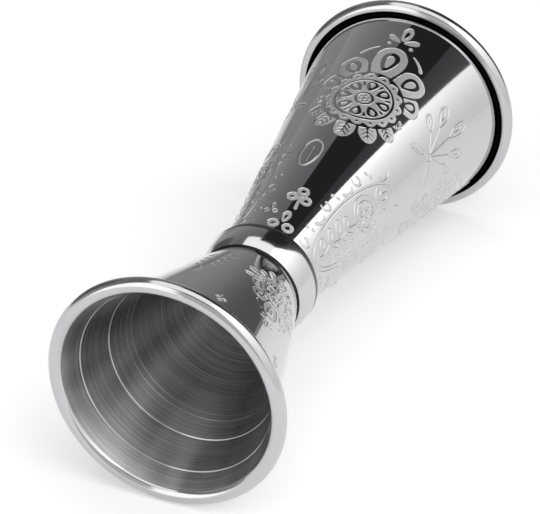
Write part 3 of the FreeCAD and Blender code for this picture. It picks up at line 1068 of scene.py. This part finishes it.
def make_dark_cards():
    """The cards and the mat past the large mouth, which the polished steel mirrors as dark bands."""
    dark = [spot(-60, -5, 430), spot(2, -5, 430), spot(22, 66, 430), spot(-62, 50, 440)]
    plane("dark_card", dark, glowing("dark_card", 0.15, 0.06, colour=(0.93, 0.95, 1.0), end=0.42))
    corners = ((92, -8), (92, 64), (760, 58), (760, -20))
    mat = [(*along((0, 0), reach, azimuth), 1) for reach, azimuth in corners]
    mat_glow = glowing("grey_mat", 0.95, 0.30, axis="X", start=0.05, end=0.20)
    plane("grey_mat", mat, mat_glow, mirrored_only=True)
    low_glow = glowing("low_card", 0.125, 0.33, axis="Y", start=-0.06, end=0.14)
    plane("low_card", upright((-25, 47), (-5, 14), 420), low_glow, mirrored_only=True)
    black = [spot(-30, 40, 320), spot(12, 42, 320), spot(18, 66, 310), spot(-35, 53, 310)]
    plane("black_card", black, glowing("black_card", 0.025))
    plane("grey_card", upright((58, 100), (-5, 33), 700), glowing("grey_card", 0.14))


def direction(azimuth, elevation):
    """The unit vector of a direction."""
    a, e = math.radians(azimuth), math.radians(elevation)
    return Vector((math.cos(a) * math.cos(e), math.sin(a) * math.cos(e), math.sin(e)))


def make_camera():
    """A long lens that looks down on the jigger past its small mouth."""
    data = bpy.data.cameras.new("camera")
    data.lens = CAMERA_LENS
    data.sensor_width = 36.0
    data.clip_start = 0.01
    data.clip_end = 50.0
    camera = bpy.data.objects.new("camera", data)
    away = -direction(CAMERA_AZIMUTH, -CAMERA_DROP)
    camera.location = Vector(CAMERA_AIM) * MM + away * CAMERA_DISTANCE * MM
    camera.rotation_euler = away.to_track_quat("Z", "Y").to_euler()
    scene.collection.objects.link(camera)
    scene.camera = camera


# ---------------------------------------------------------------- band, solder and weld

def make_collar(materials):
    """The band: a crowned outside with softened lips, and a bore that fits the two cones."""
    skin = Skin("waist_band_steel", -LENGTH / 2, -1)
    start, end = COLLAR_START, COLLAR_START + COLLAR_WIDTH
    profile = collar_profile()
    lip, foot = profile[0], profile[-1]
    run = with_normals(profile)
    skin.turn_run(run[:-SHADED_STEPS], BAND_POLISHED)
    # The shoulder's last divisions and the end face on the large cup are painted dark, as shade and a dark
    # reflection along that joint.
    skin.turn_run(run[-SHADED_STEPS - 1:], BAND_PAINTED_SHADE)
    # The face at the small lip is painted near black, as the shade along the joint with the small cup.
    skin.turn_run([(start, SMALL["waist"], -1, 0), (*lip, -1, 0)], BAND_EDGE)
    skin.turn_run([(end, LARGE["waist"], 1, 0), (*foot, 1, 0)], BAND_PAINTED_SHADE)
    bore = collar_bore()
    for (x0, r0), (x1, r1) in zip(bore, bore[1:]):
        size = math.hypot(x1 - x0, r1 - r0)
        nx, nr = (r1 - r0) / size, -(x1 - x0) / size
        skin.turn_run([(x0, r0, nx, nr), (x1, r1, nx, nr)], BAND_POLISHED)
    piece = skin.finish(materials)
    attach(piece, "root")
    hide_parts("waist_collar")


def collar_profile():
    """The outside of the band's section, from its lip on the small cup to its far shoulder."""
    profile = [(COLLAR_START, SMALL["waist"] + COLLAR_LIP)]
    for (x0, slope0), (x1, slope1) in zip(COLLAR_SLOPES, COLLAR_SLOPES[1:]):
        step = (x1 - x0) / SLOPE_STEPS
        for k in range(SLOPE_STEPS):
            x, r = profile[-1]
            slope = slope0 + (slope1 - slope0) * (k + 0.5) / SLOPE_STEPS
            profile.append((x + step, r + step * math.tan(math.radians(slope))))
    peak_x, peak_r = profile[-1]
    end = COLLAR_START + COLLAR_WIDTH
    for k in range(1, SHOULDER_STEPS + 1):
        turn = math.pi / 2 * k / SHOULDER_STEPS
        x = peak_x + (end - peak_x) * math.sin(turn)
        profile.append((x, peak_r - COLLAR_SHOULDER + COLLAR_SHOULDER * math.cos(turn)))
    return profile


def collar_bore():
    """The inside of the band's section, which follows both cones to where they would meet."""
    start, end = COLLAR_START, COLLAR_START + COLLAR_WIDTH
    slopes = [math.tan(math.radians(cup["angle"])) for cup in (SMALL, LARGE)]
    rise = start * slopes[0] + end * slopes[1]
    narrow = (SMALL["waist"] - LARGE["waist"] + rise) / sum(slopes)
    narrow_radius = SMALL["waist"] - (narrow - start) * slopes[0]
    return [(start, SMALL["waist"]), (narrow, narrow_radius), (end, LARGE["waist"])]


def with_normals(profile):
    """The points of a section that runs towards the large cup, each with its outward normal."""
    run = []
    for k, (x, r) in enumerate(profile):
        x0, r0 = profile[max(k - 1, 0)]
        x1, r1 = profile[min(k + 1, len(profile) - 1)]
        size = math.hypot(x1 - x0, r1 - r0)
        run.append((x, r, -(r1 - r0) / size, (x1 - x0) / size))
    return run


def dress_cad_nodes():
    """Gives the nodes that stay as they are their materials."""
    # Near black: a dark solder joint, and painted shade in the corners where the band meets the cups.
    solder = steel("solder_and_painted_shade", (0.015, 0.015, 0.016), (0.04, 0.04, 0.04), (0.5, 0.7))
    weld = steel("weld_metal", (0.36, 0.35, 0.34), (0.5, 0.49, 0.48), (0.4, 0.6))
    finishes = {"small_side_solder": solder, "large_side_solder": solder, "base_weld": weld}
    for name, material in finishes.items():
        node = bpy.data.objects[name]
        if not node.material_slots:
            node.data.materials.append(material)
        for slot in node.material_slots:
            slot.material = material


scene.view_settings.view_transform = "Standard"
make_camera()
make_floor()
make_lights()
cup_steels = steel_materials()
make_cup(SMALL, cup_steels)
make_cup(LARGE, cup_steels)
make_collar(band_materials())
dress_cad_nodes()
